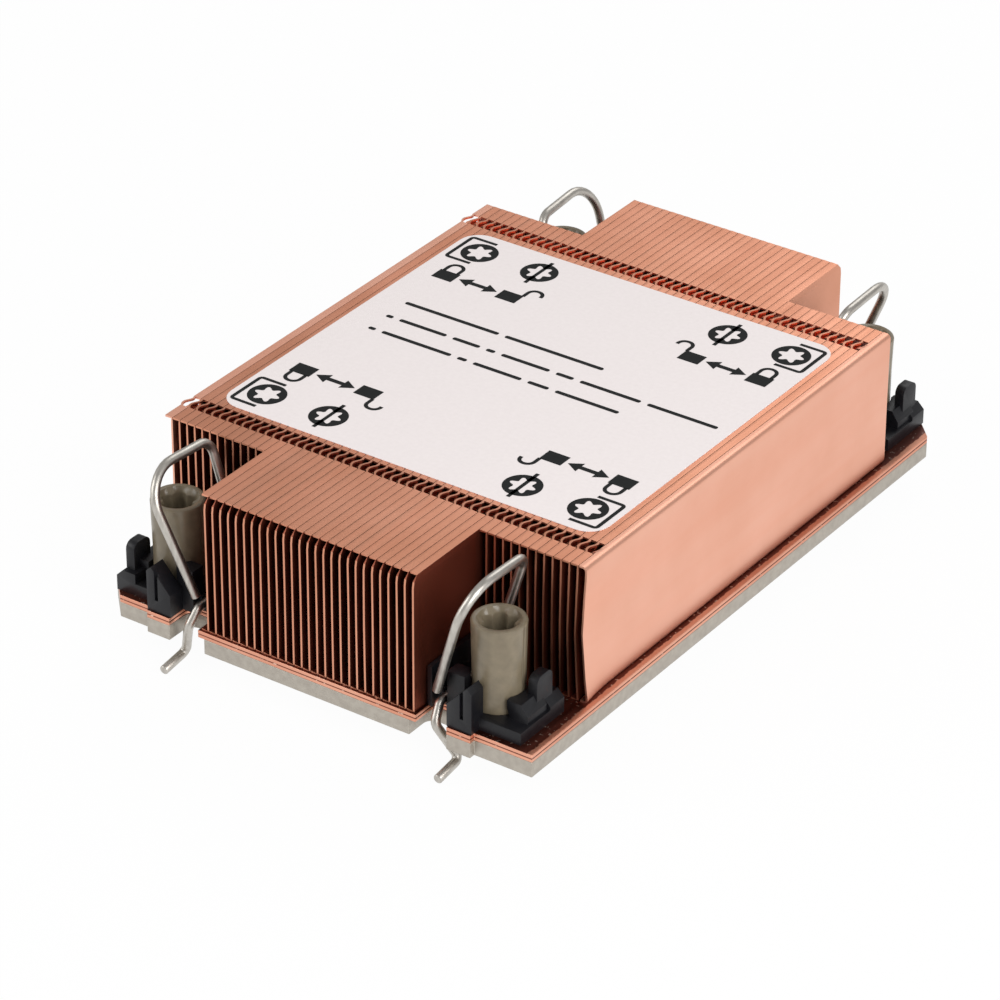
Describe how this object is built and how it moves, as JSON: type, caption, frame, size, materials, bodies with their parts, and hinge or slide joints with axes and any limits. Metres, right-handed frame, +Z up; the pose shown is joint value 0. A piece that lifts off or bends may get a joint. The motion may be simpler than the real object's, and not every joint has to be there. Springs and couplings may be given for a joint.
{
  "type": "passive server cpu heatsink",
  "caption": "Passive server CPU heatsink: folded copper fins on a vapour chamber and contact plate, with captive nuts and swinging wire bails at the corners.",
  "frame": {"origin": "middle of the flat contact face under the base", "axes": "+X to the right across the fins, +Y to the back along the fins, +Z up from the contact face"},
  "size_m": [0.076, 0.1166, 0.0315],
  "materials": {
    "plate_metal": "satin",
    "copper": "satin bare copper",
    "label_paper": "matte",
    "nut_plastic": "satin",
    "black_plastic": "satin",
    "spring_wire": "satin"
  },
  "bodies": {
    "heatsink": {"base_plate": "plate_metal", "chamber_lower_shell": "copper", "chamber_upper_shell": "copper", "fins_left_wing": "copper", "fins_tongue": "copper", "fins_right_wing": "copper", "end_fin_left": "copper", "end_fin_right": "copper", "label": "label_paper", "clip_front_left": "black_plastic", "clip_front_right": "black_plastic", "clip_back_left": "black_plastic", "clip_back_right": "black_plastic"},
    "nut_front_left_body": {"nut_front_left": "nut_plastic"},
    "bail_front_left_body": {"bail_front_left": "spring_wire"},
    "nut_front_right_body": {"nut_front_right": "nut_plastic"},
    "bail_front_right_body": {"bail_front_right": "spring_wire"},
    "nut_back_left_body": {"nut_back_left": "nut_plastic"},
    "bail_back_left_body": {"bail_back_left": "spring_wire"},
    "nut_back_right_body": {"nut_back_right": "nut_plastic"},
    "bail_back_right_body": {"bail_back_right": "spring_wire"}
  },
  "joints": [
    {"name": "nut_front_left_turn", "type": "hinge", "parent": "heatsink", "child": "nut_front_left_body", "pos_m": [-0.028, -0.049, 0.0039], "axis": [0, 0, 1], "continuous": true},
    {"name": "bail_front_left_swing", "type": "hinge", "parent": "heatsink", "child": "bail_front_left_body", "pos_m": [-0.0212, -0.0475, 0.0052], "axis": [0, -1, 0], "range_deg": [-6, 27]},
    {"name": "nut_front_right_turn", "type": "hinge", "parent": "heatsink", "child": "nut_front_right_body", "pos_m": [0.028, -0.049, 0.0039], "axis": [0, 0, 1], "continuous": true},
    {"name": "bail_front_right_swing", "type": "hinge", "parent": "heatsink", "child": "bail_front_right_body", "pos_m": [0.0212, -0.0475, 0.0052], "axis": [0, 1, 0], "range_deg": [-6, 27]},
    {"name": "nut_back_left_turn", "type": "hinge", "parent": "heatsink", "child": "nut_back_left_body", "pos_m": [-0.028, 0.049, 0.0039], "axis": [0, 0, 1], "continuous": true},
    {"name": "bail_back_left_swing", "type": "hinge", "parent": "heatsink", "child": "bail_back_left_body", "pos_m": [-0.0212, 0.0475, 0.0052], "axis": [0, -1, 0], "range_deg": [-6, 27]},
    {"name": "nut_back_right_turn", "type": "hinge", "parent": "heatsink", "child": "nut_back_right_body", "pos_m": [0.028, 0.049, 0.0039], "axis": [0, 0, 1], "continuous": true},
    {"name": "bail_back_right_swing", "type": "hinge", "parent": "heatsink", "child": "bail_back_right_body", "pos_m": [0.0212, 0.0475, 0.0052], "axis": [0, 1, 0], "range_deg": [-6, 27]}
  ]
}
